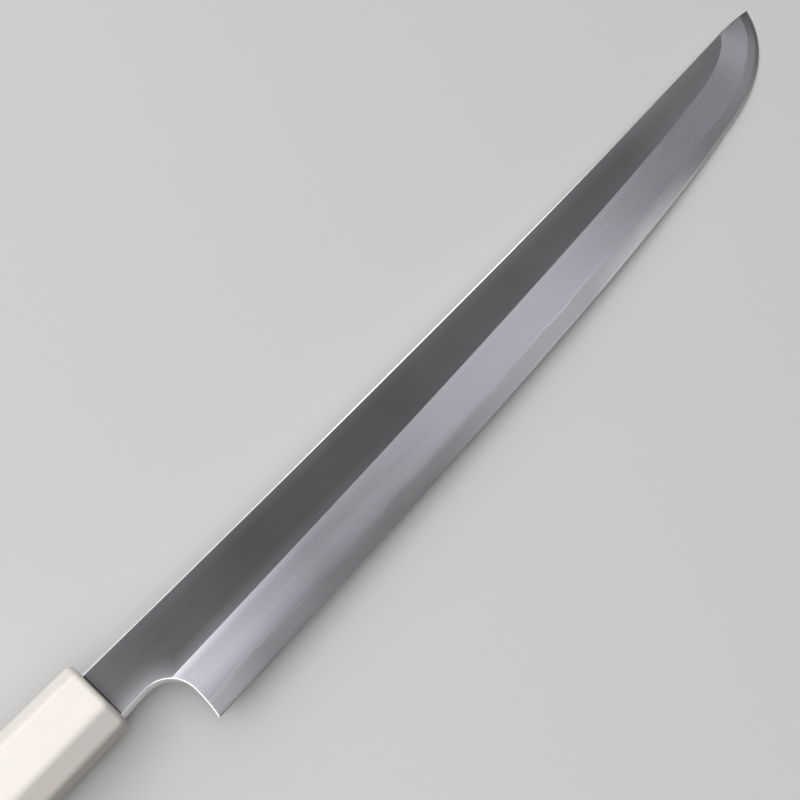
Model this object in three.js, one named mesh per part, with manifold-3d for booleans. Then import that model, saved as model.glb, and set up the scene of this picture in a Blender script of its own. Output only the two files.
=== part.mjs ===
// Sakimaru takohiki: a long single-bevel slicing knife with a rounded sword-like tip.
// Millimetres. The knife lies flat: +X to the tip, +Y to the spine, +Z to the bevelled front face.
import * as THREE from 'three';
import { mergeVertices } from 'three/addons/utils/BufferGeometryUtils.js';
import Module from 'manifold-3d';

// Blade outline, measured from the handle's front face (X) and the handle's axis (Y)
const bladeLength = 287;          // heel corner to tip
const heelSetback = 18;           // handle front to heel corner
const spineLevel = 7.75;          // handle axis up to the spine
const neckHeight = 17.25;         // spine to the underside of the neck, at the handle
const neckAngle = 2.5;            // how much the underside rises from there, degrees
const heelHeight = 36.85;         // spine level to the edge at the heel
const soriDepth = 1.35;           // how far the spine line dips
const soriSetback = 165;          // handle front to the lowest place of the spine
const knuckleRise = 0.5;          // spine height gained where the front ridge ends
const knuckleSetback = 14;        // that place, back from the tip
const bellySetback = 43;          // where the edge starts its sweep, back from the tip
const bellyHeight = 24.2;         // spine level to the edge there
const heelAngle = 1.2;            // edge direction at the heel, degrees
const bellyAngle = 9.3;           // edge direction where the sweep starts, degrees
const tipAngle = 65.4;            // edge direction at the tip, degrees
const heelReach = 62;             // pull of the edge curve at the heel
const bellyReachBack = 56;        // pull of the edge curve behind the belly
const bellyReachOn = 4;           // pull of the sweep at the belly
const tipReach = 24.6;            // pull of the sweep at the tip
const choilRadius = 9.6;          // round between the neck and the back of the heel
const heelLean = 0.85;            // how far the heel corner hooks back

// Blade grind
const spineThickHeel = 4.1;       // thickness above the heel
const spineThickTip = 2.1;        // thickness run out to the tip
const bevelWidthHeel = 17.1;      // edge to front ridge at the heel
const bevelWidthTip = 11.9;       // edge to front ridge at the tip
const bevelTaperPower = 4;        // how late along the blade the bevel narrows
const microBevelWidth = 0.5;      // small second bevel along the edge
const microBevelAngle = 22;       // its angle to the back face, degrees
const spineEase = 0.45;           // small chamfer on both corners of the spine
const hollowWheelRadius = 240;    // radius of the hollow ground in the back face
const hollowRimEdge = 2;          // flat rim of the hollow along the edge
const hollowRimSpine = 3;         // flat rim of the hollow along the spine
const hollowFade = 16;            // length over which the hollow starts at the neck

// Hard steel layer on the back face
const steelThickHeel = 1.4;
const steelThickTip = 0.72;
const steelSetback = 10;          // handle front to where the layer starts in the neck

// Tang, its bedding and the handle
const tangLength = 104;
const tangEndHeight = 7;
const tangEndRound = 2.2;
const tangShoulder = 0.7;         // step from the neck down to the tang, at the spine and on both faces
const tangStep = 2.45;            // step from the neck's underside up to the tang
const tangOverlap = 3;            // how far the tang is carried on inside the neck
const beddingFilm = 0.5;          // thickness of the adhesive round the tang
const handleLength = 148;
const handleFrontHeight = 23.4;
const handleFrontWidth = 21.2;
const handleButtHeight = 26.6;
const handleButtWidth = 23.4;
const facetHeight = 5.4;          // corner facets of the octagon, measured along Y
const facetWidth = 6.2;           // and along Z
const arrisSetback = 1.5;         // rounding of the eight long arrises
const frontEase = 2;              // rounding of the front rim
const buttEase = 1.6;             // rounding of the butt rim

// Fineness of the surfaces
const bodySteps = 22;
const sweepSteps = 12;
const shinogiEndSteps = 7;
const tipSteps = 6;
const hollowSteps = 6;
const easeSteps = 4;
const arcSteps = 10;
const halvings = 60;
const grain = 1e-4;               // points are rounded to this
const cutterMargin = 5;

// Shares of a section that its small features keep to near the tip, where the section runs out
const rimShare = 1 / 4;           // rims of the hollow and the second bevel, of the length
const easeShare = 1 / 6;          // spine chamfer, of the length
const sideShare = 1 / 3;          // spine chamfer, of the thickness

// Levels and places that follow from the sizes
const neckLevel = spineLevel - neckHeight;
const tipX = heelSetback + bladeLength;
const heelY = spineLevel - heelHeight;
const knuckleX = tipX - knuckleSetback;
const backLevel = -spineThickHeel / 2;
const rad = THREE.MathUtils.degToRad;
const lerp = THREE.MathUtils.lerp;

const wasm = await Module();
wasm.setup();

// Solids in and out of the boolean library

function toSolid(geometry) {
  const bare = new THREE.BufferGeometry();
  bare.setAttribute('position', geometry.getAttribute('position'));
  const merged = mergeVertices(bare, grain / 2);
  const mesh = new wasm.Mesh({
    numProp: 3,
    vertProperties: new Float32Array(merged.getAttribute('position').array),
    triVerts: new Uint32Array(merged.getIndex().array),
  });
  return new wasm.Manifold(mesh);
}

function toGeometry(solid) {
  const mesh = solid.getMesh();
  const geometry = new THREE.BufferGeometry();
  geometry.setAttribute('position', new THREE.BufferAttribute(new Float32Array(mesh.vertProperties), 3));
  geometry.setIndex(new THREE.BufferAttribute(new Uint32Array(mesh.triVerts), 1));
  return geometry;
}

// Skin over closed rings of equal count, ordered along +X, each ring turning from +Y to +Z.
// Points of a ring may fall together, so triangles with two like corners are left out.
function loft(rings) {
  const corners = [];
  const addTriangle = (a, b, c) => {
    if (a.equals(b) || b.equals(c) || c.equals(a)) return;
    for (const p of [a, b, c]) corners.push(p.x, p.y, p.z);
  };
  const count = rings[0].length;
  for (let i = 0; i + 1 < rings.length; i++) {
    for (let j = 0; j < count; j++) {
      const a = rings[i][j];
      const b = rings[i][(j + 1) % count];
      const c = rings[i + 1][(j + 1) % count];
      const d = rings[i + 1][j];
      if (a.distanceTo(c) < b.distanceTo(d)) {
        addTriangle(a, b, c);
        addTriangle(a, c, d);
      } else {
        addTriangle(a, b, d);
        addTriangle(b, c, d);
      }
    }
  }
  const first = rings[0];
  const last = rings[rings.length - 1];
  for (let j = 1; j + 1 < count; j++) {
    addTriangle(first[0], first[j + 1], first[j]);
    addTriangle(last[0], last[j], last[j + 1]);
  }
  const geometry = new THREE.BufferGeometry();
  geometry.setAttribute('position', new THREE.Float32BufferAttribute(corners, 3));
  return geometry;
}

// A flat outline in the XY plane, given thickness from one level to another
function slab(shape, low, high) {
  const geometry = new THREE.ExtrudeGeometry(shape, {
    depth: high - low,
    bevelEnabled: false,
    curveSegments: arcSteps,
  });
  return toSolid(geometry.translate(0, 0, low));
}

// Blade lines

// Spine: a shallow dip, a rise to the knuckle, then a short fall to the tip
function spineY(x) {
  const low = spineLevel - soriDepth;
  if (x < soriSetback) return low + soriDepth * ((soriSetback - x) / soriSetback) ** 2;
  const climb = soriDepth + knuckleRise;
  const run = knuckleX - soriSetback;
  if (x < knuckleX) return low + climb * ((x - soriSetback) / run) ** 2;
  const slope = (2 * climb) / run;
  const bend = (knuckleRise + slope * knuckleSetback) / knuckleSetback ** 2;
  const s = x - knuckleX;
  return spineLevel + knuckleRise + slope * s - bend * s * s;
}

// Edge: a long gentle curve from the heel to the belly, then the sweep up to the tip
const heading = (angle) => new THREE.Vector2(Math.cos(rad(angle)), Math.sin(rad(angle)));
const heelPoint = new THREE.Vector2(heelSetback, heelY);
const bellyPoint = new THREE.Vector2(tipX - bellySetback, spineLevel - bellyHeight);
const tipPoint = new THREE.Vector2(tipX, spineLevel);
const edgeBody = new THREE.CubicBezierCurve(
  heelPoint,
  heelPoint.clone().addScaledVector(heading(heelAngle), heelReach),
  bellyPoint.clone().addScaledVector(heading(bellyAngle), -bellyReachBack),
  bellyPoint,
);
const edgeSweep = new THREE.CubicBezierCurve(
  bellyPoint,
  bellyPoint.clone().addScaledVector(heading(bellyAngle), bellyReachOn),
  tipPoint.clone().addScaledVector(heading(tipAngle), -tipReach),
  tipPoint,
);

// Thickness of the whole blade and of its hard layer, both straight tapers
const along = (x) => (x - heelSetback) / bladeLength;
const frontLevel = (x) => backLevel + lerp(spineThickHeel, spineThickTip, along(x));
const layerLevel = (x) => backLevel + lerp(steelThickHeel, steelThickTip, along(x));
const bevelWidth = (x) => lerp(bevelWidthHeel, bevelWidthTip, Math.max(along(x), 0) ** bevelTaperPower);

// Distance from an edge point, square to the edge, to the spine line
function reachToSpine(edge, inward) {
  let near = 0;
  let far = 2 * heelHeight;
  for (let i = 0; i < halvings; i++) {
    const middle = (near + far) / 2;
    const below = edge.y + inward.y * middle < spineY(edge.x + inward.x * middle);
    if (below) near = middle;
    else far = middle;
  }
  return near;
}

// One ruling of the grind: from the edge, square to it, up the bevel to the ridge, then to the spine
function ruling(edge, inward) {
  const width = bevelWidth(edge.x);
  const reach = reachToSpine(edge, inward);
  const onBevel = (d) => edge.clone().addScaledVector(inward, d);
  const hasFlat = reach > width;
  const ridge = onBevel(Math.min(width, reach));
  const spine = hasFlat ? new THREE.Vector2(ridge.x, spineY(ridge.x)) : ridge.clone();
  const micro = Math.min(microBevelWidth, reach * rimShare);
  const microLevel = backLevel + micro * Math.tan(rad(microBevelAngle));
  const fullLevel = frontLevel(ridge.x);
  const climb = hasFlat ? 1 : (reach - micro) / (width - micro);
  const ridgeLevel = reach > 0 ? lerp(microLevel, fullLevel, climb) : backLevel;
  const microPoint = onBevel(micro);
  const rise = ridgeLevel - microLevel - (layerLevel(ridge.x) - layerLevel(microPoint.x));
  const layerShare = rise > 0 ? (layerLevel(microPoint.x) - microLevel) / rise : 1;
  return { edge, inward, ridge, spine, ridgeLevel, microPoint, microLevel, hasFlat, layerShare };
}

// Place on a ruling at a distance from the edge
function onRuling(line, distance) {
  const bevel = line.edge.distanceTo(line.ridge);
  if (!line.hasFlat || distance <= bevel) return line.edge.clone().addScaledVector(line.inward, distance);
  const flat = line.ridge.distanceTo(line.spine);
  return line.ridge.clone().lerp(line.spine, (distance - bevel) / flat);
}

const snap = (v) => Math.round(v / grain) * grain;
const at = (p, z) => new THREE.Vector3(snap(p.x), snap(p.y), snap(z));

// Where the hard layer shows on the bevel, or the spine corner where it takes up the whole section
function layerLine(line) {
  const share = Math.min(line.layerShare, 1);
  const p = line.microPoint.clone().lerp(line.ridge, share);
  return at(p, lerp(line.microLevel, line.ridgeLevel, share));
}

// Front half of a section: spine chamfer and ridge, in ring order
function frontPoints(line) {
  const flat = line.spine.distanceTo(line.ridge);
  const ease = Math.min(spineEase, flat / 2);
  const inner = ease > 0 ? line.spine.clone().lerp(line.ridge, ease / flat) : line.spine;
  const top = line.hasFlat ? frontLevel(line.spine.x) : line.ridgeLevel;
  return [at(line.spine, top - ease), at(inner, top), at(line.ridge, line.ridgeLevel)];
}

function ironRing(line) {
  const seam = at(line.spine, Math.min(layerLevel(line.spine.x), line.ridgeLevel));
  return [seam, seam, ...frontPoints(line), layerLine(line)];
}

// The neck is iron through its whole thickness
function neckRing(line) {
  const inner = line.spine.clone().setY(line.spine.y - spineEase);
  const corner = [at(inner, backLevel), at(line.spine, backLevel + spineEase)];
  return [...corner, ...frontPoints(line), at(line.edge, backLevel)];
}

function steelRing(line) {
  const seam = at(line.spine, Math.min(layerLevel(line.spine.x), line.ridgeLevel));
  const length = line.edge.distanceTo(line.ridge) + line.ridge.distanceTo(line.spine);
  const ease = Math.min(spineEase, (seam.z - backLevel) * sideShare, length * easeShare);
  const rimEdge = Math.min(hollowRimEdge, length * rimShare);
  const rimSpine = Math.min(hollowRimSpine, length * rimShare);
  const span = length - rimEdge - rimSpine;
  const fade = THREE.MathUtils.smoothstep(line.spine.x, steelSetback, steelSetback + hollowFade);
  const depth = (fade * span * span) / (8 * hollowWheelRadius);
  const back = [];
  for (let i = 0; i <= hollowSteps; i++) {
    const q = i / hollowSteps;
    const hollow = depth * (1 - (2 * q - 1) ** 2);
    back.push(at(onRuling(line, rimEdge + span * q), backLevel + hollow));
  }
  const corner = at(onRuling(line, length - ease), backLevel);
  const side = at(line.spine, backLevel + ease);
  const cuttingEdge = [layerLine(line), at(line.microPoint, line.microLevel), at(line.edge, backLevel)];
  return [side, seam, ...cuttingEdge, ...back, corner];
}

// Stations along the edge. A station counts 0 to 1 along the body and 1 to 2 along the sweep.
function edgeRuling(station) {
  const curve = station < 1 ? edgeBody : edgeSweep;
  const t = station < 1 ? station : station - 1;
  const tangent = curve.getTangent(t);
  return ruling(curve.getPoint(t), new THREE.Vector2(-tangent.y, tangent.x));
}

// Behind the heel the grind runs straight on, to be cut away under the neck
function neckRuling(x) {
  const edge = new THREE.Vector2(x, heelY + (x - heelSetback) * Math.tan(rad(heelAngle)));
  return ruling(edge, new THREE.Vector2(0, 1));
}

// The station where a condition on the ruling stops holding
function lastStation(holds) {
  let low = 0;
  let high = 2;
  for (let i = 0; i < halvings; i++) {
    const middle = (low + high) / 2;
    if (holds(edgeRuling(middle))) low = middle;
    else high = middle;
  }
  return low;
}

const flatEnd = lastStation((line) => line.hasFlat);
const ironEnd = lastStation((line) => line.layerShare < 1);

function stations(from, to, steps) {
  return Array.from({ length: steps }, (_, i) => edgeRuling(lerp(from, to, (i + 1) / steps)));
}

const ironLines = [
  edgeRuling(0),
  ...stations(0, 1, bodySteps),
  ...stations(1, flatEnd, sweepSteps),
  ...stations(flatEnd, ironEnd, shinogiEndSteps),
];
const steelLines = [...ironLines, ...stations(ironEnd, 2, tipSteps)];

// Choil: the underside of the neck, the round, and the hooked back of the heel
function choilCutter() {
  const lean = rad(neckAngle);
  const underside = (x) => neckLevel + x * Math.tan(lean);
  const front = heelSetback + heelLean;
  const round = new THREE.Vector2(front - choilRadius, 0);
  round.y = underside(round.x) - choilRadius / Math.cos(lean);
  const below = heelY - cutterMargin;
  const shape = new THREE.Shape();
  shape.moveTo(-cutterMargin, underside(-cutterMargin));
  shape.lineTo(round.x - choilRadius * Math.sin(lean), round.y + choilRadius * Math.cos(lean));
  shape.absarc(round.x, round.y, choilRadius, Math.PI / 2 + lean, 0, true);
  shape.quadraticCurveTo(front, (round.y + heelY) / 2, heelSetback, heelY);
  shape.lineTo(heelSetback - heelLean, below);
  shape.lineTo(-cutterMargin, below);
  shape.closePath();
  return slab(shape, backLevel - cutterMargin, -backLevel + cutterMargin);
}

// Side view of the tang, grown on all sides, from a given front end back into the handle
function tangShape(grow, front) {
  const top = spineLevel - tangShoulder + grow;
  const bottom = neckLevel + tangStep - grow;
  const end = tangEndHeight / 2 + grow;
  const endX = -tangLength - grow;
  const share = front / (endX + tangEndRound);
  const shape = new THREE.Shape();
  shape.moveTo(front, lerp(top, end, share));
  shape.lineTo(endX + tangEndRound, end);
  shape.quadraticCurveTo(endX, end, endX, end - tangEndRound);
  shape.lineTo(endX, -end + tangEndRound);
  shape.quadraticCurveTo(endX, -end, endX + tangEndRound, -end);
  shape.lineTo(front, lerp(bottom, -end, share));
  shape.closePath();
  return shape;
}

const tangLow = backLevel + tangShoulder;
const tangHigh = -backLevel - tangShoulder;
const tangSolid = (grow, front) => slab(tangShape(grow, front), tangLow - grow, tangHigh + grow);

// Pieces

function bladeBody(choil) {
  const step = neckRuling(steelSetback);
  const neck = [neckRing(neckRuling(0)), neckRing(step)];
  const rings = [...neck, ironRing(step), ...ironLines.map(ironRing)];
  const blade = toSolid(loft(rings)).subtract(choil);
  return toGeometry(blade.add(tangSolid(0, tangOverlap)));
}

function edgeSteel(choil) {
  const rings = [neckRuling(steelSetback), ...steelLines].map(steelRing);
  return toGeometry(toSolid(loft(rings)).subtract(choil));
}

function tangBedding() {
  return toGeometry(tangSolid(beddingFilm, 0).subtract(tangSolid(0, tangOverlap)));
}

// Octagon with rounded arrises, drawn in by an inset, as a ring of points at one place along the handle
function handleRing(x, inset) {
  const share = -x / handleLength;
  const halfHeight = lerp(handleFrontHeight, handleButtHeight, share) / 2;
  const halfWidth = lerp(handleFrontWidth, handleButtWidth, share) / 2;
  const drawIn = new THREE.Vector2(1 - inset / halfHeight, 1 - inset / halfWidth);
  const upper = new THREE.Vector2(halfHeight, halfWidth - facetWidth).multiply(drawIn);
  const side = new THREE.Vector2(halfHeight - facetHeight, halfWidth).multiply(drawIn);
  const corners = [];
  for (const [sy, sz] of [[1, 1], [-1, 1], [-1, -1], [1, -1]]) {
    const pair = [upper, side].map((p) => new THREE.Vector2(sy * p.x, sz * p.y));
    corners.push(...(sy * sz > 0 ? pair : pair.reverse()));
  }
  const outline = new THREE.Path();
  corners.forEach((corner, i) => {
    const before = corners[(i + 7) % 8].clone().sub(corner).setLength(arrisSetback).add(corner);
    const after = corners[(i + 1) % 8].clone().sub(corner).setLength(arrisSetback).add(corner);
    if (i === 0) outline.moveTo(before.x, before.y);
    else outline.lineTo(before.x, before.y);
    outline.quadraticCurveTo(corner.x, corner.y, after.x, after.y);
  });
  return outline.getPoints(easeSteps).map((p) => new THREE.Vector3(x, p.x, p.y));
}

function handle() {
  const rings = [];
  for (let i = 0; i <= easeSteps; i++) {
    const turn = (i / easeSteps) * (Math.PI / 2);
    rings.push(handleRing(-handleLength + buttEase * (1 - Math.cos(turn)), buttEase * (1 - Math.sin(turn))));
  }
  for (let i = 0; i <= easeSteps; i++) {
    const turn = (i / easeSteps) * (Math.PI / 2);
    rings.push(handleRing(-frontEase * (1 - Math.sin(turn)), frontEase * (1 - Math.cos(turn))));
  }
  return toGeometry(toSolid(loft(rings)).subtract(tangSolid(beddingFilm, cutterMargin)));
}

// Assembly

const iron = new THREE.MeshStandardMaterial({ color: 0x77767c, roughness: 0.38, metalness: 1 });
const steel = new THREE.MeshStandardMaterial({ color: 0x9a999f, roughness: 0.28, metalness: 1 });
const adhesive = new THREE.MeshStandardMaterial({ color: 0xd8cfbb, roughness: 0.6, metalness: 0 });
const resin = new THREE.MeshStandardMaterial({ color: 0xf1ede2, roughness: 0.35, metalness: 0 });

function piece(name, geometry, material) {
  geometry.computeVertexNormals();
  const mesh = new THREE.Mesh(geometry, material);
  mesh.name = name;
  return mesh;
}

const choil = choilCutter();
const knife = new THREE.Group();
knife.add(piece('blade_body', bladeBody(choil), iron));
knife.add(piece('edge_steel', edgeSteel(choil), steel));
knife.add(piece('tang_bedding', tangBedding(), adhesive));
knife.add(piece('handle', handle(), resin));

// The origin goes to the middle of the footprint, on the surface the knife lies on
const reach = new THREE.Box3().setFromObject(knife);
const middle = reach.getCenter(new THREE.Vector3());
knife.position.set(-middle.x, -middle.y, -reach.min.z);

const part = new THREE.Group();
part.add(knife);

export default part;
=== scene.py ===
"""Looks of a sakimaru takohiki knife: a finely ground blade and an octagonal handle, on a pale floor."""

import math

import bmesh
import bpy
import numpy as np
from mathutils import Matrix, Vector


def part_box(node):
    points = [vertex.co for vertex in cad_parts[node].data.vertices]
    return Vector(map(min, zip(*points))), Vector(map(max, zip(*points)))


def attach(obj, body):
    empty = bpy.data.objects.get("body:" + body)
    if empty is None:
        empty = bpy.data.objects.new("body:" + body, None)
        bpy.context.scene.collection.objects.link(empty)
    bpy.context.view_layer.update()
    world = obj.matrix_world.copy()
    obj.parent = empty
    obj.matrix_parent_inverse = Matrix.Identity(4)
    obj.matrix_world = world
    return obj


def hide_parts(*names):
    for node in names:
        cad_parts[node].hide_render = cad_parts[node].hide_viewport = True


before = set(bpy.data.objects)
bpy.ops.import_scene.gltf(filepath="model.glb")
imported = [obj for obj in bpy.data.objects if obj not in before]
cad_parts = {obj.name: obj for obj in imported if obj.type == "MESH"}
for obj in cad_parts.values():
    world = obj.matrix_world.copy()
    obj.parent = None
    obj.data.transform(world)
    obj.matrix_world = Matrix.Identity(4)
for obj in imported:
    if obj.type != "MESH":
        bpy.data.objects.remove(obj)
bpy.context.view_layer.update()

# The knife is worked out in millimetres from the handle's front face and axis, then placed in the frame
MM = 0.001
handle_low, handle_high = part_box("handle")
handle_middle = (handle_low + handle_high) / 2
PLACE = Matrix.Translation((handle_high.x, handle_middle.y, handle_middle.z)) @ Matrix.Scale(MM, 4)

# Blade outline
BLADE_LENGTH = 287            # heel corner to tip
HEEL_SETBACK = 18             # handle front to heel corner
SPINE_LEVEL = 7.75            # handle axis up to the spine
NECK_HEIGHT = 17.25           # spine to the underside of the neck, at the handle
NECK_ANGLE = 2.5              # how much the underside rises from there, in degrees
HEEL_HEIGHT = 36.85           # spine level to the edge at the heel
SORI_DEPTH = 1.35             # dip of the spine line
SORI_SETBACK = 165            # handle front to where the spine is lowest
KNUCKLE_RISE = 0.5            # spine height gained where the front ridge ends
KNUCKLE_SETBACK = 14          # that place, back from the tip
BELLY_SETBACK = 43            # where the edge starts its sweep, back from the tip
BELLY_HEIGHT = 24.2           # spine level to the edge there
HEEL_ANGLE = 1.2              # directions of the edge, in degrees
BELLY_ANGLE = 9.3
TIP_ANGLE = 65.4
HEEL_REACH = 62               # pulls of the two edge curves
BELLY_REACH_BACK = 56
BELLY_REACH_ON = 4
TIP_REACH = 24.6
CHOIL_RADIUS = 9.6
HEEL_LEAN = 0.85              # how far the heel corner hooks back

# Blade grind
SPINE_THICK_HEEL = 4.1
SPINE_THICK_TIP = 2.1
BEVEL_WIDTH_HEEL = 17.1       # edge to front ridge
BEVEL_WIDTH_TIP = 11.9
BEVEL_TAPER_POWER = 4
MICRO_BEVEL_WIDTH = 0.5       # small second bevel along the edge
MICRO_BEVEL_ANGLE = 22
SPINE_ROUND = 1.0             # rounding of the spine's corners
CHOIL_ROUND = 0.5             # rounding of the choil's corners
THIN_ROUND = (1.5, 0.4)       # most that it takes of a thin wall, in width and depth
LOW_SHARE = 1 / 4             # most that a rim or small bevel takes of a section near the tip
RIDGE_EASE = 0.1              # half width of the softened front ridge
HOLLOW_WHEEL_RADIUS = 240     # hollow ground in the back face
HOLLOW_RIM_EDGE = 2
HOLLOW_RIM_SPINE = 3
HOLLOW_FADE = 16              # length over which the hollow starts

# Hard steel layer
STEEL_THICK_HEEL = 1.4
STEEL_THICK_TIP = 0.72
STEEL_SETBACK = 10            # handle front to where the layer starts
WELD_WAVES = (                # waves of the weld: length, share of the thickness, phase
    (31, 0.03, 0.4),
    (17, 0.022, 1.9),
    (7.3, 0.01, 0.9),
)

# Tang and handle
TANG_LENGTH = 104
TANG_END_HEIGHT = 7
TANG_END_ROUND = 2.2
TANG_SHOULDER = 0.7           # step down to the tang at the spine and on both faces
TANG_STEP = 2.45              # step up to the tang from the neck's underside
TANG_OVERLAP = 3              # how far the tang runs into the neck
BEDDING_FILM = 0.5
HANDLE_LENGTH = 148
HANDLE_FRONT = (23.4, 21.2)   # height and width
HANDLE_BUTT = (26.6, 23.4)
FACET = (5.4, 6.2)            # corner facets, along the height and the width
ARRIS_SETBACK = 1.5           # where the rounding of the long corners starts
FRONT_EASE = 2                # rounding of the front rim and of the butt's
BUTT_EASE = 1.6

# Fineness
NECK_STEPS = 30
HEEL_STEPS = 40               # stations in the first part of the edge's long curve
HEEL_SHARE = 0.12             # that part
BODY_STEPS = 110
SWEEP_STEPS = 72
WELD_STEPS = 330
FLAT_ROWS = 14
BEVEL_ROWS = 14
HOLLOW_ROWS = 16
ROUND_STEPS = 6
ARRIS_STEPS = 7
ARC_STEPS = 40
HALVINGS = 50                 # of the search for the spine
MARGIN = 5                    # how far a tool reaches past what it cuts
FLARE = 2.5                   # how far a rounding tool runs on past the corner it rounds
WELD_DISTANCE = 1e-5          # points nearer than this become one
SHARP_ANGLE = 50              # corners sharper than this stay crisp, in degrees
NORMAL_WEIGHT = 75            # how much large faces lead the shading

# What tells faces apart: turns in degrees, heights, and how far up they face, from -1 to 1
RIM_TURN = 5                  # a rounded corner turns at least this far from the flat and the bevel
IRON_WELD = -0.5              # the iron's weld face is under this
STEEL_HOLLOW = -0.9           # the steel's hollow is under this
HOLLOW_LIFT = 0.004           # and this far over its rims
STEEL_WELD = 0.995            # the steel's weld face is over this
STEEL_FRONT = 0.5             # and its front over this

# Material slots of the two blade pieces
HIRA, KIREBA, RIM, SCALE = range(4)
HAGANE, HOLLOW = range(2)

# Levels and places that follow from the sizes
NECK_LEVEL = SPINE_LEVEL - NECK_HEIGHT
TIP_X = HEEL_SETBACK + BLADE_LENGTH
HEEL_Y = SPINE_LEVEL - HEEL_HEIGHT
KNUCKLE_X = TIP_X - KNUCKLE_SETBACK
BACK_LEVEL = -SPINE_THICK_HEEL / 2


def lerp(a, b, t):
    return a + (b - a) * t


def smoothstep(x, low, high):
    t = np.clip((x - low) / (high - low), 0, 1)
    return t * t * (3 - 2 * t)


def quarter(wide, deep, steps):
    """A quarter round, as distances in from the two faces that it joins."""
    turns = [k / steps * math.pi / 2 for k in range(steps + 1)]
    return [(wide * (1 - math.sin(turn)), deep * (1 - math.cos(turn))) for turn in turns]


# Blade lines

def spine_y(x):
    """A shallow dip, a rise to the knuckle, then a short fall to the tip."""
    low = SPINE_LEVEL - SORI_DEPTH
    climb = SORI_DEPTH + KNUCKLE_RISE
    run = KNUCKLE_X - SORI_SETBACK
    slope = 2 * climb / run
    bend = (KNUCKLE_RISE + slope * KNUCKLE_SETBACK) / KNUCKLE_SETBACK**2
    past = x - KNUCKLE_X
    back = low + SORI_DEPTH * ((SORI_SETBACK - x) / SORI_SETBACK) ** 2
    front = low + climb * ((x - SORI_SETBACK) / run) ** 2
    end = SPINE_LEVEL + KNUCKLE_RISE + slope * past - bend * past**2
    return np.where(x < SORI_SETBACK, back, np.where(x < KNUCKLE_X, front, end))


def heading(angle):
    """The direction at an angle in degrees."""
    return np.array((math.cos(math.radians(angle)), math.sin(math.radians(angle))))


def bezier(corners, t):
    """Points and inward unit normals of a cubic curve."""
    a, b, c, d = (np.array(p, float) for p in corners)
    t = t[:, None]
    s = 1 - t
    points = a * s**3 + 3 * b * s**2 * t + 3 * c * s * t**2 + d * t**3
    run = (b - a) * s**2 + 2 * (c - b) * s * t + (d - c) * t**2
    run /= np.linalg.norm(run, axis=1)[:, None]
    return points, np.stack([-run[:, 1], run[:, 0]], 1)


def edge_line():
    """The edge from under the neck to the tip, as points and inward normals."""
    heel = np.array((HEEL_SETBACK, HEEL_Y))
    belly = np.array((TIP_X - BELLY_SETBACK, SPINE_LEVEL - BELLY_HEIGHT))
    tip = np.array((TIP_X, SPINE_LEVEL))
    out, turn, sweep = heading(HEEL_ANGLE), heading(BELLY_ANGLE), heading(TIP_ANGLE)
    body = (heel, heel + out * HEEL_REACH, belly - turn * BELLY_REACH_BACK, belly)
    end = (belly, belly + turn * BELLY_REACH_ON, tip - sweep * TIP_REACH, tip)
    x = np.linspace(0, HEEL_SETBACK, NECK_STEPS, endpoint=False)
    under = np.stack([x, HEEL_Y + (x - HEEL_SETBACK) * math.tan(math.radians(HEEL_ANGLE))], 1)
    lean = np.radians(HEEL_ANGLE * x / HEEL_SETBACK)
    near = np.linspace(0, HEEL_SHARE, HEEL_STEPS, endpoint=False)
    far = np.linspace(HEEL_SHARE, 1, BODY_STEPS, endpoint=False)
    parts = [
        (under, np.stack([-np.sin(lean), np.cos(lean)], 1)),
        bezier(body, np.concatenate([near, far])),
        bezier(end, np.linspace(0, 1, SWEEP_STEPS + 1)),
    ]
    return tuple(np.concatenate(rows) for rows in zip(*parts))


def along(x):
    """Share of the way from heel to tip."""
    return (x - HEEL_SETBACK) / BLADE_LENGTH


def front_level(x):
    """Height of the flat above the ridge."""
    return BACK_LEVEL + lerp(SPINE_THICK_HEEL, SPINE_THICK_TIP, along(x))


def weld_level(x):
    """Top of the hard layer, a little wavy as a forge weld is."""
    waves = sum(high * np.sin(2 * np.pi * x / long + phase) for long, high, phase in WELD_WAVES)
    return BACK_LEVEL + lerp(STEEL_THICK_HEEL, STEEL_THICK_TIP, along(x)) * (1 + waves)


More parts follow.
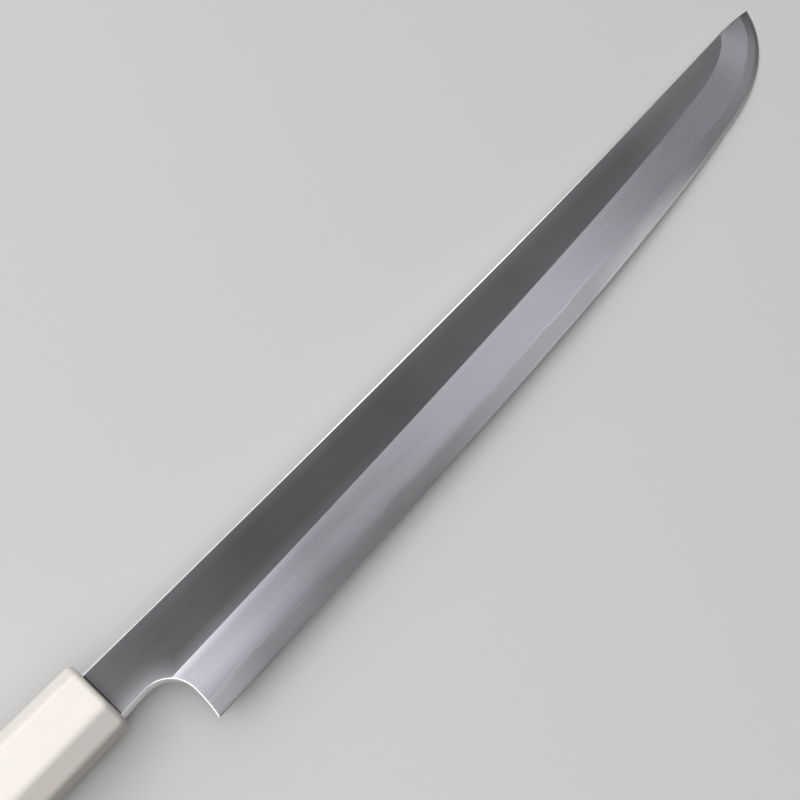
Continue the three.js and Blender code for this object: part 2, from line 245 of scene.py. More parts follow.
class Grind:
    """The grind's rulings: from each edge point up the bevel to the ridge, then to the spine."""

    def __init__(self):
        self.edge, self.inward = edge_line()
        share = np.maximum(along(self.edge[:, 0]), 0) ** BEVEL_TAPER_POWER
        width = lerp(BEVEL_WIDTH_HEEL, BEVEL_WIDTH_TIP, share)
        reach = self.reach_to_spine()
        self.has_flat = reach > width
        self.bevel = np.minimum(width, reach)
        self.ridge = self.edge + self.inward * self.bevel[:, None]
        upright = np.stack([self.ridge[:, 0], spine_y(self.ridge[:, 0])], 1)
        self.spine = np.where(self.has_flat[:, None], upright, self.ridge)
        self.flat = np.linalg.norm(self.spine - self.ridge, axis=1)
        self.micro = np.minimum(MICRO_BEVEL_WIDTH, reach * LOW_SHARE)
        self.micro_level = BACK_LEVEL + self.micro * math.tan(math.radians(MICRO_BEVEL_ANGLE))
        climb = np.where(self.has_flat, 1, (reach - self.micro) / (width - self.micro))
        full = front_level(self.ridge[:, 0])
        self.ridge_level = np.where(reach > 0, lerp(self.micro_level, full, climb), BACK_LEVEL)

    def reach_to_spine(self):
        """How far the spine is from each edge point, square to the edge."""
        near = np.zeros(len(self.edge))
        far = np.full(len(self.edge), 2.0 * HEEL_HEIGHT)
        for _ in range(HALVINGS):
            middle = (near + far) / 2
            p = self.edge + self.inward * middle[:, None]
            below = p[:, 1] < spine_y(p[:, 0])
            near = np.where(below, middle, near)
            far = np.where(below, far, middle)
        return near

    def place(self, i, distance):
        """The point of ruling i at a distance from the edge."""
        if distance <= self.bevel[i] or not self.has_flat[i]:
            return self.edge[i] + self.inward[i] * distance
        return lerp(self.ridge[i], self.spine[i], (distance - self.bevel[i]) / self.flat[i])

    def front(self, i, distance):
        """Height of the front face there."""
        if distance > self.bevel[i]:
            return front_level(self.place(i, distance)[0])
        share = (distance - self.micro[i]) / max(self.bevel[i] - self.micro[i], WELD_DISTANCE)
        return lerp(self.micro_level[i], self.ridge_level[i], share)

    def front_at(self, point):
        """Height of the front face over a point near the heel."""
        i = int(np.argmin(np.abs(self.edge[:, 0] - point[0])))
        distance = point[1] - self.edge[i, 1]
        return max(self.front(i, distance), BACK_LEVEL) if distance > 0 else BACK_LEVEL

    def spine_round(self, i):
        """Rounding of the spine's corners there."""
        length = self.bevel[i] + self.flat[i]
        return min(SPINE_ROUND, (self.front(i, length) - BACK_LEVEL) * LOW_SHARE, length * LOW_SHARE)

    def choil_round(self, point):
        """Width and depth of the choil's rounding there."""
        thick = self.front_at(point) - BACK_LEVEL
        return [min(CHOIL_ROUND, share * thick) for share in THIN_ROUND]

    def section(self, i):
        """A closed section: round the spine, down the front, over the edge, back along the hollow."""
        length = self.bevel[i] + self.flat[i]
        top = self.front(i, length)
        ease = self.spine_round(i)
        corner = quarter(ease, ease, ROUND_STEPS)
        ring = [(length - a, BACK_LEVEL + b) for a, b in corner]
        ring += [(length - b, top - a) for a, b in corner]
        soft = min(RIDGE_EASE, self.flat[i] / 2)
        upper = np.linspace(length - ease, self.bevel[i] + soft, FLAT_ROWS)[1:]
        lower = np.linspace(self.bevel[i] - soft, self.micro[i], BEVEL_ROWS)
        if not self.has_flat[i]:
            upper = np.full(FLAT_ROWS - 1, length - ease)
            lower = np.linspace(length - ease, self.micro[i], BEVEL_ROWS)
        ring += [(distance, self.front(i, distance)) for distance in (*upper, *lower)]
        ring.append((0, BACK_LEVEL))
        rim_edge = min(HOLLOW_RIM_EDGE, length * LOW_SHARE)
        rim_spine = min(HOLLOW_RIM_SPINE, length * LOW_SHARE)
        span = length - rim_edge - rim_spine
        fade = smoothstep(self.spine[i, 0], STEEL_SETBACK, STEEL_SETBACK + HOLLOW_FADE)
        depth = fade * span**2 / (8 * HOLLOW_WHEEL_RADIUS)
        for q in np.linspace(0, 1, HOLLOW_ROWS):
            ring.append((rim_edge + span * q, BACK_LEVEL + depth * (1 - (2 * q - 1) ** 2)))
        return [(*self.place(i, distance), level) for distance, level in ring]


# Mesh helpers

def new_piece(name, mesh):
    piece = bpy.data.objects.new(name, mesh)
    bpy.context.scene.collection.objects.link(piece)
    return piece


def loft(name, rings):
    """A closed skin over closed rings of equal count. Points of a ring may fall together."""
    shape = bmesh.new()
    rows = [[shape.verts.new(p) for p in ring] for ring in rings]
    count = len(rows[0])
    for a, b in zip(rows, rows[1:]):
        for j in range(count):
            k = (j + 1) % count
            shape.faces.new((a[j], a[k], b[k], b[j]))
    shape.faces.new(rows[0])
    shape.faces.new(rows[-1])
    bmesh.ops.remove_doubles(shape, verts=shape.verts, dist=WELD_DISTANCE)
    bmesh.ops.dissolve_degenerate(shape, dist=WELD_DISTANCE, edges=shape.edges)
    bmesh.ops.recalc_face_normals(shape, faces=shape.faces)
    mesh = bpy.data.meshes.new(name)
    shape.to_mesh(mesh)
    shape.free()
    return new_piece(name, mesh)


def carve(piece, tool, operation):
    """Joins or cuts a piece with a tool, for good."""
    cut = piece.modifiers.new("carve", "BOOLEAN")
    cut.operation = operation
    cut.object = tool
    cut.solver = "EXACT"
    seen = piece.evaluated_get(bpy.context.evaluated_depsgraph_get())
    shape = bpy.data.meshes.new_from_object(seen)
    piece.modifiers.clear()
    piece.data = shape


def remove(*tools):
    for tool in tools:
        bpy.data.objects.remove(tool)


# Tools that shape the pieces

def choil_outline():
    """The neck's underside, the round and the hooked heel, as points and normals into the blade."""
    lean = math.radians(NECK_ANGLE)
    centre_x = HEEL_SETBACK + HEEL_LEAN - CHOIL_RADIUS
    centre_y = NECK_LEVEL + centre_x * math.tan(lean) - CHOIL_RADIUS / math.cos(lean)
    turns = np.linspace(math.pi / 2 + lean, 0, ARC_STEPS)
    round_ways = np.stack([np.cos(turns), np.sin(turns)], 1)
    round_points = np.array((centre_x, centre_y)) + CHOIL_RADIUS * round_ways
    x = np.linspace(-MARGIN, round_points[0, 0], ARC_STEPS // 2, endpoint=False)
    neck_points = np.stack([x, NECK_LEVEL + x * math.tan(lean)], 1)
    neck_ways = np.repeat(round_ways[:1], len(x), 0)
    drop = centre_y - HEEL_Y
    t = np.linspace(0, 1 + MARGIN / drop, ARC_STEPS)[1:]
    hook_points = np.stack([HEEL_SETBACK + HEEL_LEAN * (1 - t**2), centre_y - drop * t], 1)
    hook_ways = np.stack([np.full(len(t), drop), -2 * HEEL_LEAN * t], 1)
    hook_ways /= np.linalg.norm(hook_ways, axis=1)[:, None]
    points = np.concatenate([neck_points, round_points, hook_points])
    return points, np.concatenate([neck_ways, round_ways, hook_ways])


def choil_cutter(grind):
    """A wall along the choil's outline that flares over both faces, so that it rounds their corners."""
    low, high = BACK_LEVEL - MARGIN, -BACK_LEVEL + MARGIN
    pivot = (-MARGIN, HEEL_Y - MARGIN)
    first_turn = math.pi / 2 / ROUND_STEPS
    flare = FLARE * math.tan(first_turn / 2)
    rings = []
    for point, way in zip(*choil_outline()):
        wide, deep = grind.choil_round(point)
        steps = [(wide + FLARE, -flare), *quarter(wide, deep, ROUND_STEPS)[1:]]
        under = [(out, BACK_LEVEL + fall) for out, fall in steps]
        over = [(out, grind.front_at(point + way * out) - fall) for out, fall in reversed(steps)]
        wall = [(wide + FLARE, low), *under, *over, (wide + FLARE, high)]
        skin = [(*(point + way * out), level) for out, level in wall]
        rings.append([(*pivot, low), *skin, (*pivot, high)])
    return loft("choil_cutter", rings)


def weld_slab():
    """Everything under the wavy weld, from where the hard layer starts to past the tip."""
    side = HEEL_HEIGHT + MARGIN
    low = BACK_LEVEL - MARGIN
    rings = []
    for x in np.linspace(STEEL_SETBACK, TIP_X + MARGIN, WELD_STEPS):
        top = weld_level(x)
        rings.append([(x, -side, low), (x, side, low), (x, side, top), (x, -side, top)])
    return loft("weld_slab", rings)


def tang_solid(grow, front):
    """The tang's tapered bar with a rounded end, grown on all sides."""
    top = SPINE_LEVEL - TANG_SHOULDER + grow
    bottom = NECK_LEVEL + TANG_STEP - grow
    end = TANG_END_HEIGHT / 2 + grow
    end_x = -TANG_LENGTH - grow
    half = -BACK_LEVEL - TANG_SHOULDER + grow
    spans = []
    for inset, setback in quarter(TANG_END_ROUND, TANG_END_ROUND, ARRIS_STEPS):
        spans.append((end_x + setback, inset - end, end - inset))
    share = front / (end_x + TANG_END_ROUND)
    spans.append((front, lerp(bottom, -end, share), lerp(top, end, share)))
    rings = [[(x, a, -half), (x, b, -half), (x, b, half), (x, a, half)] for x, a, b in spans]
    return loft("tang", rings)


# Surface data for the materials

def offsets(points, line, ways):
    """How far points are from a line, along its normals, and which of its points are nearest."""
    nearest = np.array([np.argmin(((line - p) ** 2).sum(1)) for p in points])
    return ((points - line[nearest]) * ways[nearest]).sum(1), nearest


class BladeField:
    """Distances in the blade's plan that tell its finishes apart."""

    def __init__(self, grind):
        self.grind = grind
        self.choil = choil_outline()
        self.choil_rounds = np.array([grind.choil_round(point)[0] for point in self.choil[0]])
        self.spine_rounds = np.array([grind.spine_round(i) for i in range(len(grind.edge))])

    def from_edge(self, points):
        """Distance from the edge, and past the front ridge."""
        distance, nearest = offsets(points, self.grind.edge, self.grind.inward)
        return distance, distance - self.grind.bevel[nearest]

    def from_choil(self, points):
        return offsets(points, *self.choil)[0]

    def on_rim(self, points, normals):
        """Whether faces are on the rounding of the spine or of the choil."""
        from_spine = spine_y(points[:, 0]) - points[:, 1]
        spine_round = np.interp(points[:, 0], self.grind.spine[:, 0], self.spine_rounds)
        from_choil, nearest = offsets(points, *self.choil)
        slope = math.atan2(SPINE_THICK_HEEL, BEVEL_WIDTH_HEEL)
        from_flat = normals[:, 2]
        from_bevel = normals @ np.array((0, -math.sin(slope), math.cos(slope)))
        turned = np.maximum(from_flat, from_bevel) < math.cos(math.radians(RIM_TURN))
        return (from_spine < spine_round) | (turned & (from_choil < self.choil_rounds[nearest]))


def store(mesh, name, values):
    """Keeps a number at each point of a mesh."""
    numbers = np.asarray(values, np.float32)
    mesh.attributes.new(name, "FLOAT", "POINT").data.foreach_set("value", numbers)


def vertices(mesh):
    found = np.empty(len(mesh.vertices) * 3)
    mesh.vertices.foreach_get("co", found)
    return found.reshape(-1, 3)


def measure_blade(piece, field):
    """Keeps, for the materials, how far each point is from the lines of the grind, in millimetres."""
    places = vertices(piece.data)
    from_edge, from_ridge = field.from_edge(places[:, :2])
    store(piece.data, "from_edge", from_edge)
    store(piece.data, "from_ridge", from_ridge)
    store(piece.data, "from_choil", field.from_choil(places[:, :2]))
    store(piece.data, "from_spine", spine_y(places[:, 0]) - places[:, 1])
    store(piece.data, "from_handle", places[:, 0])
    store(piece.data, "over_weld", places[:, 2] - weld_level(places[:, 0]))


def dress(piece, materials, choose):
    """Gives each face one of the materials, by the faces' middles and normals."""
    faces = piece.data.polygons
    piece.data.materials.clear()
    for material in materials:
        piece.data.materials.append(material)
    middles = np.array([face.center for face in faces])
    normals = np.array([face.normal for face in faces])
    faces.foreach_set("material_index", choose(middles, normals).astype(np.int32))


def finish_piece(piece, name, node):
    """Smooth shading that keeps crisp corners, then the piece takes its node's place in the frame."""
    piece.name = name
    piece.data.name = name
    piece.data.transform(PLACE)
    piece.data.shade_smooth()
    piece.data.set_sharp_from_angle(angle=math.radians(SHARP_ANGLE))
    for face in piece.data.polygons:
        face.use_smooth = piece.data.materials[face.material_index].name != "forge_scale"
    even = piece.modifiers.new("even_normals", "WEIGHTED_NORMAL")
    even.keep_sharp = True
    even.weight = NORMAL_WEIGHT
    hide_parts(node)
    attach(piece, "root")


# Node helpers

def feed(tree, node, inputs):
    """Sets each named input to a value, or feeds it from another node."""
    for key, value in inputs.items():
        if isinstance(value, bpy.types.NodeSocket):
            tree.links.new(value, node.inputs[key])
        else:
            node.inputs[key].default_value = value


def put(tree, kind, inputs, **settings):
    """A new node with its settings and inputs."""
    made = tree.nodes.new(kind)
    for key, value in settings.items():
        setattr(made, key, value)
    feed(tree, made, inputs)
    return made


NOISE_ROUGHNESS = 0.55

# The part of a noise's range that is used
WIDE = (0.3, 0.7)
MIDDLE = (0.32, 0.68)
NARROW = (0.35, 0.65)


def noise(tree, stretch, detail):
    """Noise in the object's own metres, with so many features to the metre along each axis."""
    place = put(tree, "ShaderNodeTexCoord", {}).outputs["Object"]
    mapped = put(tree, "ShaderNodeMapping", {"Vector": place, "Scale": stretch}).outputs["Vector"]
    inputs = {"Vector": mapped, "Scale": 1.0, "Detail": detail, "Roughness": NOISE_ROUGHNESS}
    return put(tree, "ShaderNodeTexNoise", inputs).outputs["Fac"]


def measured(tree, name):
    """A number that was kept at the mesh's points."""
    return put(tree, "ShaderNodeAttribute", {}, attribute_name=name).outputs["Fac"]


def remap(tree, value, low, high, to_low, to_high):
    """A value carried from one range to another, and held at its ends."""
    inputs = {"Value": value, "From Min": low, "From Max": high, "To Min": to_low, "To Max": to_high}
    return put(tree, "ShaderNodeMapRange", inputs, clamp=True).outputs["Result"]


def maths(tree, operation, a, b):
    return put(tree, "ShaderNodeMath", {0: a, 1: b}, operation=operation).outputs[0]


def product(tree, *factors):
    whole = factors[0]
    for factor in factors[1:]:
        whole = maths(tree, "MULTIPLY", whole, factor)
    return whole


def mixed(tree, first, second, share):
    """Two values added up, the second with a share and the first with the rest."""
    return maths(tree, "ADD", product(tree, first, 1 - share), product(tree, second, share))


def around(tree, value, centre, width):
    """1 where a value is at the centre, down to 0 at a width on either side."""
    offset = maths(tree, "SUBTRACT", value, centre)
    size = put(tree, "ShaderNodeMath", {0: offset}, operation="ABSOLUTE").outputs[0]
    return remap(tree, size, 0.0, width, 1.0, 0.0)


def ramps(tree, value, *steps):
    """Ramps multiplied together, each from one value to another and between two levels."""
    return product(tree, *(remap(tree, value, *step) for step in steps))


def lifted(tree, share, amount):
    """1 where a share is 0, and more by an amount where it is 1."""
    return maths(tree, "ADD", product(tree, share, amount), 1.0)


def shaded(tree, colour, level):
    """A colour made lighter or darker by a level."""
    inputs = {0: colour, "Scale": level}
    return put(tree, "ShaderNodeVectorMath", inputs, operation="SCALE").outputs["Vector"]


def tint(tree, share, first, second):
    """A colour between two others."""
    inputs = {"Factor": share, "A": (*first, 1), "B": (*second, 1)}
    return put(tree, "ShaderNodeMix", inputs, data_type="RGBA").outputs["Result"]


def grained(tree, grain, used, first, second):
    """A colour between two others, by the used part of a noise's range."""
    return tint(tree, remap(tree, grain, *used, 0.0, 1.0), first, second)


def bump(tree, height, distance, strength):
    inputs = {"Height": height, "Distance": distance, "Strength": strength}
    return put(tree, "ShaderNodeBump", inputs).outputs["Normal"]


def new_material(name, metallic):
    made = bpy.data.materials.new(name)
    made.use_nodes = True
    shader = made.node_tree.nodes["Principled BSDF"]
    shader.inputs["Metallic"].default_value = metallic
    return made, made.node_tree, shader


# Materials, with distances in millimetres from the handle, edge, ridge, spine, choil or weld

def hira_satin():
    """The flat above the ridge: a dark, fine satin, paler by the neck, with painted highlights by the
    choil, ridge and spine and a painted contact shadow against the handle.
    """
    made, tree, shader = new_material("hira_satin", 1.0)
    lines = noise(tree, (12, 800, 800), 1.0)
    clouds = noise(tree, (30, 50, 50), 2.0)
    grain = mixed(tree, lines, clouds, 0.6)
    colour = grained(tree, grain, WIDE, (0.2, 0.197, 0.208), (0.23, 0.227, 0.24))
    from_handle = measured(tree, "from_handle")
    by_ridge = around(tree, measured(tree, "from_ridge"), 0.0, 4.0)
    by_choil = remap(tree, measured(tree, "from_choil"), 0.5, 8.0, 1.0, 0.0)
    by_spine = around(tree, measured(tree, "from_spine"), 0.0, 4.5)
    past_neck = remap(tree, from_handle, 0.0, 50.0, 0.0, 1.0)
    # painted highlight: the flat paler along the ridge, most near the heel
    painted_ridge_highlight = remap(tree, from_handle, 20.0, 110.0, 0.9, 0.1)
    # painted highlight: the flat paler along the spine past the neck
    painted_spine_highlight = remap(tree, from_handle, 230.0, 270.0, 0.45, 0.15)
    # painted highlight: the flat paler by the choil
    painted_choil_highlight = 1.4
    level = product(
        tree,
        ramps(
            tree, from_handle,
            (0.2, 0.7, 0.2, 1.0),          # painted contact shadow against the handle
            (4.0, 22.0, 1.25, 1.0),        # pale neck
            (36.0, 60.0, 1.2, 0.93),       # paler above the heel
            (62.0, 95.0, 1.0, 1.075),      # slowly paler along the blade
            (120.0, 190.0, 1.0, 1.18),
            (232.0, 256.0, 1.0, 1.4),
            (276.0, 292.0, 1.0, 0.84),     # darker where the flat ends
        ),
        lifted(tree, product(tree, by_spine, past_neck), painted_spine_highlight),
        maths(tree, "MAXIMUM", lifted(tree, by_ridge, painted_ridge_highlight),
              lifted(tree, product(tree, by_choil, by_choil), painted_choil_highlight)),
    )
    feed(tree, shader, {
        "Base Color": shaded(tree, colour, level),
        "Roughness": remap(tree, clouds, *WIDE, 0.25, 0.28),
    })
    return made


def kireba_mist():
    """The bevel's soft iron: a pale stone haze that darkens towards the hard steel near the heel, with a
    painted highlight along the ridge and painted reflections past the heel and at mid blade.
    """
    made, tree, shader = new_material("kireba_mist", 1.0)
    haze = noise(tree, (35, 120, 120), 3.0)
    streaks = noise(tree, (9, 600, 600), 1.0)
    grain = mixed(tree, haze, streaks, 0.3)
    colour = grained(tree, grain, MIDDLE, (0.585, 0.58, 0.642), (0.645, 0.64, 0.704))
    from_handle = measured(tree, "from_handle")
    over_weld = measured(tree, "over_weld")
    near_heel = remap(tree, from_handle, 20.0, 140.0, 1.0, 0.0)
    low_down = remap(tree, measured(tree, "from_edge"), 5.0, 10.0, 1.0, 0.0)
    by_ridge = around(tree, measured(tree, "from_ridge"), 0.0, 2.2)
    before_tip = remap(tree, from_handle, 200.0, 250.0, 1.0, 0.0)
    # painted highlight: the bevel paler along the ridge, most near the heel
    painted_ridge_highlight = remap(tree, from_handle, 20.0, 110.0, 0.5, 0.08)
    by_weld = around(tree, over_weld, 0.0, 0.35)
    weld_shade = remap(tree, from_handle, 120.0, 170.0, -0.12, 0.0)
    weld_line = around(tree, over_weld, 0.05, 0.07)
    line_shows = maths(tree, "MAXIMUM", around(tree, from_handle, 28.0, 24.0),
                       around(tree, from_handle, 182.0, 34.0))
    level = product(
        tree,
        ramps(
            tree, from_handle,
            (200.0, 250.0, 1.0, 0.78),     # greyer towards the tip
            (276.0, 290.0, 1.0, 1.24),     # paler on the sweep
        ),
        lifted(tree, around(tree, from_handle, 72.0, 36.0), -0.14),      # painted reflection: greyer past the heel
        lifted(tree, around(tree, from_handle, 184.0, 34.0), 0.07),      # painted reflection: paler at mid blade
        lifted(tree, product(tree, near_heel, low_down), -0.35),         # darker towards the hard steel
        lifted(tree, product(tree, by_ridge, before_tip), painted_ridge_highlight),
        lifted(tree, by_weld, weld_shade),
        lifted(tree, product(tree, weld_line, line_shows), 0.24),        # a thin pale line over the weld
    )
    feed(tree, shader, {
        "Base Color": shaded(tree, colour, level),
        "Roughness": remap(tree, grain, *MIDDLE, 0.25, 0.29),
    })
    return made


def hagane_stone():
    """The bevel's hard steel: greyer and finer than the iron, less so towards the tip, with painted
    highlights by the edge on the belly and along the honed strip.
    """
    made, tree, shader = new_material("hagane_stone", 1.0)
    haze = noise(tree, (40, 160, 160), 3.0)
    streaks = noise(tree, (9, 700, 700), 1.0)
    grain = mixed(tree, haze, streaks, 0.4)
    colour = grained(tree, grain, WIDE, (0.345, 0.345, 0.364), (0.39, 0.39, 0.412))
    from_handle = measured(tree, "from_handle")
    from_edge = measured(tree, "from_edge")
    # painted highlight: the steel paler near the edge on the belly
    painted_belly_highlight = remap(tree, from_edge, 1.0, 5.0, 0.75, 0.12)
    honed = remap(tree, from_edge, 0.3, 0.8, 1.0, 0.0)
    # painted highlight: the honed strip paler, more so towards the tip
    painted_honed_highlight = remap(tree, from_handle, 110.0, 270.0, 0.1, 0.75)
    by_weld = remap(tree, measured(tree, "over_weld"), -0.5, 0.0, 0.0, 1.0)
    weld_gleam = remap(tree, from_handle, 110.0, 165.0, 0.26, 0.02)
    level = product(
        tree,
        ramps(
            tree, from_handle,
            (110.0, 200.0, 1.0, 1.55),     # paler along the blade
            (228.0, 255.0, 1.0, 0.81),     # greyer on the belly and the sweep
            (280.0, 290.0, 1.0, 0.8),
        ),
        lifted(tree, around(tree, from_handle, 41.0, 16.0), -0.15),      # darker past the heel
        lifted(tree, around(tree, from_handle, 217.0, 30.0), painted_belly_highlight),
        lifted(tree, product(tree, by_weld, by_weld), weld_gleam),
        lifted(tree, honed, painted_honed_highlight),
    )
    feed(tree, shader, {
        "Base Color": shaded(tree, colour, level),
        "Roughness": remap(tree, grain, *WIDE, 0.2, 0.25),
    })
    return made


def polished_rim():
    """The spine and the choil: rounded over and polished, with a painted dimming of their highlight
    towards the tip.
    """
    made, tree, shader = new_material("polished_rim", 1.0)
    lines = noise(tree, (120, 1500, 1500), 3.0)
    colour = grained(tree, lines, WIDE, (0.88, 0.88, 0.885), (0.94, 0.94, 0.945))
    # painted shade: the rim made darker towards the tip, so its highlight fades there
    level = remap(tree, measured(tree, "from_handle"), 180.0, 245.0, 1.0, 0.5)
    feed(tree, shader, {
        "Base Color": shaded(tree, colour, level),
        "Roughness": remap(tree, lines, *WIDE, 0.14, 0.22),
    })
    return made


def hollow_satin():
    """The hollow of the back face: wheel lines along the blade."""
    made, tree, shader = new_material("hollow_satin", 1.0)
    lines = noise(tree, (12, 2200, 2200), 4.0)
    feed(tree, shader, {
        "Base Color": grained(tree, lines, WIDE, (0.42, 0.42, 0.435), (0.56, 0.56, 0.575)),
        "Roughness": remap(tree, lines, *WIDE, 0.24, 0.34),
        "Normal": bump(tree, lines, 0.00002, 0.3),
    })
    return made


def forge_scale():
    """The tang and the weld faces, left dark from the forge."""
    made, tree, shader = new_material("forge_scale", 1.0)
    flakes = noise(tree, (500, 500, 500), 5.0)
    feed(tree, shader, {
        "Base Color": grained(tree, flakes, NARROW, (0.06, 0.06, 0.065), (0.17, 0.16, 0.155)),
        "Roughness": remap(tree, flakes, *NARROW, 0.5, 0.75),
        "Normal": bump(tree, flakes, 0.0002, 0.4),
    })
    return made


def ivory_resin():
    """The handle: off-white resin with a faint grain along it, rubbed to a satin."""
    made, tree, shader = new_material("ivory_resin", 0.0)
    fibres = noise(tree, (22, 420, 420), 4.0)
    clouds = noise(tree, (70, 90, 90), 3.0)
    fine = noise(tree, (1800, 2600, 2600), 2.0)
    grain = mixed(tree, fibres, clouds, 0.5)
    feed(tree, shader, {
        "Base Color": grained(tree, grain, MIDDLE, (0.935, 0.88, 0.812), (0.96, 0.915, 0.857)),
        "Roughness": remap(tree, fine, *WIDE, 0.34, 0.46),
        "Normal": bump(tree, fine, 0.00002, 0.25),
    })
    return made


def cured_adhesive():
    """The bedding round the tang: matt cream with small bubbles."""
    made, tree, shader = new_material("cured_adhesive", 0.0)
    bubbles = noise(tree, (900, 900, 900), 3.0)
    feed(tree, shader, {
        "Base Color": grained(tree, bubbles, NARROW, (0.72, 0.67, 0.56), (0.8, 0.76, 0.67)),
        "Roughness": remap(tree, bubbles, *NARROW, 0.55, 0.7),
        "Normal": bump(tree, bubbles, 0.0001, 0.4),
    })
    return made


# Pieces

def build_blade():
    """The soft body and the hard layer, cut from one ground blade."""
    grind = Grind()
    field = BladeField(grind)
    cutter = choil_cutter(grind)
    slab = weld_slab()
    tang = tang_solid(0, TANG_OVERLAP)
    body = loft("body", [grind.section(i) for i in range(len(grind.edge))])
    carve(body, cutter, "DIFFERENCE")
    steel = new_piece("steel", body.data.copy())
    carve(steel, slab, "INTERSECT")
    carve(body, slab, "DIFFERENCE")
    carve(body, tang, "UNION")
    remove(cutter, slab, tang)
    for piece in (body, steel):
        measure_blade(piece, field)

    def choose_iron(middles, normals):
        x = middles[:, 0]
        past_ridge = field.from_edge(middles[:, :2])[1]
        forged = (x < 0) | ((normals[:, 2] < IRON_WELD) & (x > STEEL_SETBACK))
        polished = field.on_rim(middles[:, :2], normals)
        return np.select([forged, polished, past_ridge > RIDGE_EASE / 2], [SCALE, RIM, HIRA], KIREBA)

    def choose_steel(middles, normals):
        up = normals[:, 2]
        hollow = (up < STEEL_HOLLOW) & (middles[:, 2] > BACK_LEVEL + HOLLOW_LIFT)
        polished = (up < STEEL_FRONT) | field.on_rim(middles[:, :2], normals)
        return np.select([hollow, up > STEEL_WELD, polished], [HOLLOW, SCALE, RIM], HAGANE)

    rim, scale = polished_rim(), forge_scale()
    dress(body, (hira_satin(), kireba_mist(), rim, scale), choose_iron)
    dress(steel, (hagane_stone(), hollow_satin(), rim, scale), choose_steel)
    finish_piece(body, "ground_blade_body", "blade_body")
    finish_piece(steel, "ground_edge_steel", "edge_steel")


def handle_ring(x, inset):
    """An octagon with rounded arrises, drawn in by an inset."""
    share = -x / HANDLE_LENGTH
    tall, wide = (lerp(a, b, share) / 2 for a, b in zip(HANDLE_FRONT, HANDLE_BUTT))
    draw_y, draw_z = 1 - inset / tall, 1 - inset / wide
    upper = (tall * draw_y, (wide - FACET[1]) * draw_z)
    side = ((tall - FACET[0]) * draw_y, wide * draw_z)
    corners = []
    for sy, sz in ((1, 1), (-1, 1), (-1, -1), (1, -1)):
        pair = [np.array((sy * y, sz * z)) for y, z in (upper, side)]
        corners += pair if sy * sz > 0 else pair[::-1]
    ring = []
    for i, corner in enumerate(corners):
        ways = [corners[i - 1] - corner, corners[(i + 1) % len(corners)] - corner]
        before, after = (corner + way / np.linalg.norm(way) * ARRIS_SETBACK for way in ways)
        for t in np.linspace(0, 1, ARRIS_STEPS + 1):
            y, z = before * (1 - t) ** 2 + 2 * corner * t * (1 - t) + after * t**2
            ring.append((x, y, z))
    return ring


def build_handle():
    """The tapered octagon with its rounded ends and the tang's socket."""
    butt = [(b - HANDLE_LENGTH, a) for a, b in quarter(BUTT_EASE, BUTT_EASE, ARRIS_STEPS)]
    front = [(-a, b) for a, b in quarter(FRONT_EASE, FRONT_EASE, ARRIS_STEPS)]
    grip = loft("grip", [handle_ring(x, inset) for x, inset in butt + front])
    socket = tang_solid(BEDDING_FILM, MARGIN)
    carve(grip, socket, "DIFFERENCE")
    remove(socket)
    dress(grip, (ivory_resin(),), lambda middles, normals: np.zeros(len(middles)))
    finish_piece(grip, "octagon_handle", "handle")


def dress_bedding():
    """The bedding keeps its CAD shape and gets its material."""
    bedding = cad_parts["tang_bedding"]
    bedding.data.materials.clear()
    bedding.data.materials.append(cured_adhesive())


# Floor, light and camera

# The knife lies on the handle's front rim and on its tip, so the floor leans with it
REST_RIM = (-FRONT_EASE, -HANDLE_FRONT[1] / 2)     # along and up, from the handle's front and axis
REST_TIP = (TIP_X, BACK_LEVEL)
FLOOR_SIZE = 40.0                                  # in metres
FLOOR_COLOUR = (0.62, 0.62, 0.615)
FLOOR_SHADE = (0.08, 0.08, 0.08)                   # the floor as it lights the knife from below
FLOOR_ROUGHNESS = 0.8
FLOOR_LIT = (0.5, 1.6)                             # where its lamplight gives way to the surround
WHITE = (1, 1, 1, 1)

# The world's light low down and overhead, and where the one gives way to the other: straight up is 1
FILL_LIGHT = (0.0, 0.9)                            # as it lights the knife
FILL_RISE = (0.6, 1.0)
SURROUND_LIGHT = (0.55, 0.14)                      # as it is seen
SURROUND_RISE = (0.1, 0.5)

# Lamps: place, the point they face and size in metres, and brightness of the lit face
LAMPS = {
    "ceiling": ((0.3, 0.2, 2.6), (0.3, 0.2, 0), (5.0, 4.6), 0.158),
    "heel_overhead": ((-0.125, -0.195, 1.2), (-0.125, -0.195, 0), (0.35, 0.45), 0.8),
    "blade_overhead": ((0.54, -0.195, 1.2), (0.54, -0.195, 0), (0.28, 0.47), 0.4),
    "spine_side": ((0.66, 1.45, 0.85), (0.1, 0, 0), (0.6, 1.3), 1.45),
    "neck_side": ((0.1, 1.45, 0.85), (0, 0, 0), (0.45, 1.1), 0.55),
    "grip_side": ((-1.0, 1.3, 0.95), (-0.15, 0, 0), (1.7, 1.5), 0.95),
    "grip_overhead": ((-1.85, -0.2, 1.35), (-1.85, -0.2, 0), (2.9, 3.0), 1.0),
    "tip_side": ((1.08, 0.115, 0.94), (0, 0, 0), (0.25, 0.25), 0.38),
}
LAMP_POWER = 4                # an area lamp's power, for each square metre and unit of brightness

# Camera, in millimetres from the handle's front and axis
CAMERA_FROM = (5.75, -129.72, 419.53)
CAMERA_TO = (122.26, -1.99, 0)
CAMERA_UP = (0.6889, 0.6177, 0.3794)
SENSOR_WIDTH = 36
FOCAL_PIXELS = 1500
FRAME_PIXELS = 800


def seen_rays(tree):
    """1 for what the camera sees, straight or in the metal, and 0 for what lights the knife."""
    path = put(tree, "ShaderNodeLightPath", {}).outputs
    mirrored = maths(tree, "MAXIMUM", path["Is Glossy Ray"], path["Is Transmission Ray"])
    return maths(tree, "MAXIMUM", path["Is Camera Ray"], mirrored)


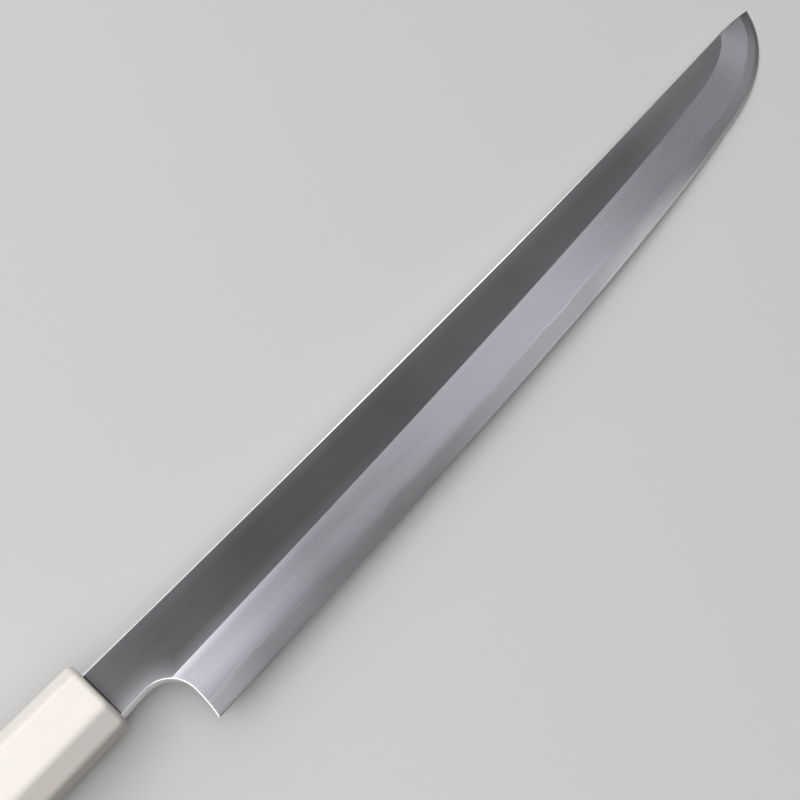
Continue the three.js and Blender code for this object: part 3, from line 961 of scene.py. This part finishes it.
def build_floor():
    """A pale floor that takes the knife's shadow and turns into the surround farther out."""
    lean = math.atan2(REST_TIP[1] - REST_RIM[1], REST_TIP[0] - REST_RIM[0])
    bpy.ops.mesh.primitive_plane_add(size=FLOOR_SIZE)
    floor = bpy.context.object
    floor.name = "floor"
    floor.location = PLACE @ Vector((REST_RIM[0], 0, REST_RIM[1]))
    floor.rotation_euler.y = -lean
    made, tree, shader = new_material("pale_floor", 0.0)
    seen = seen_rays(tree)
    place = put(tree, "ShaderNodeTexCoord", {}).outputs["Object"]
    reach = put(tree, "ShaderNodeVectorMath", {0: place}, operation="LENGTH").outputs["Value"]
    near = remap(tree, reach, *FLOOR_LIT, 1.0, 0.0)
    far = remap(tree, reach, *FLOOR_LIT, 0.0, SURROUND_LIGHT[0])
    feed(tree, shader, {
        "Base Color": shaded(tree, tint(tree, seen, FLOOR_SHADE, FLOOR_COLOUR), near),
        "Roughness": FLOOR_ROUGHNESS,
        "Emission Color": WHITE,
        "Emission Strength": product(tree, seen, far),
    })
    floor.data.materials.append(made)


def build_lamps():
    for name, (place, aim, size, brightness) in LAMPS.items():
        lamp = bpy.data.lights.new(name, "AREA")
        lamp.shape = "RECTANGLE"
        lamp.size, lamp.size_y = size
        lamp.energy = LAMP_POWER * brightness * size[0] * size[1]
        held = bpy.data.objects.new(name, lamp)
        held.location = place
        held.rotation_euler = (Vector(place) - Vector(aim)).to_track_quat("Z", "Y").to_euler()
        bpy.context.scene.collection.objects.link(held)


def build_world():
    world = bpy.data.worlds.new("studio")
    world.use_nodes = True
    tree = world.node_tree
    way = put(tree, "ShaderNodeTexCoord", {}).outputs["Generated"]
    up = put(tree, "ShaderNodeSeparateXYZ", {"Vector": way}).outputs["Z"]
    fill = remap(tree, up, *FILL_RISE, *FILL_LIGHT)
    shown = remap(tree, up, *SURROUND_RISE, *SURROUND_LIGHT)
    strength = remap(tree, seen_rays(tree), 0.0, 1.0, fill, shown)
    feed(tree, tree.nodes["Background"], {"Color": WHITE, "Strength": strength})
    bpy.context.scene.world = world


def build_camera():
    lens = bpy.data.cameras.new("camera")
    lens.sensor_width = SENSOR_WIDTH
    lens.lens = SENSOR_WIDTH * FOCAL_PIXELS / FRAME_PIXELS
    camera = bpy.data.objects.new("camera", lens)
    back = (Vector(CAMERA_FROM) - Vector(CAMERA_TO)).normalized()
    right = Vector(CAMERA_UP).cross(back).normalized()
    turn = Matrix((right, back.cross(right), back)).transposed().to_4x4()
    camera.matrix_world = Matrix.Translation(PLACE @ Vector(CAMERA_FROM)) @ turn
    bpy.context.scene.collection.objects.link(camera)
    bpy.context.scene.camera = camera


build_blade()
build_handle()
dress_bedding()
build_floor()
build_lamps()
build_world()
build_camera()
bpy.context.scene.view_settings.view_transform = "Standard"
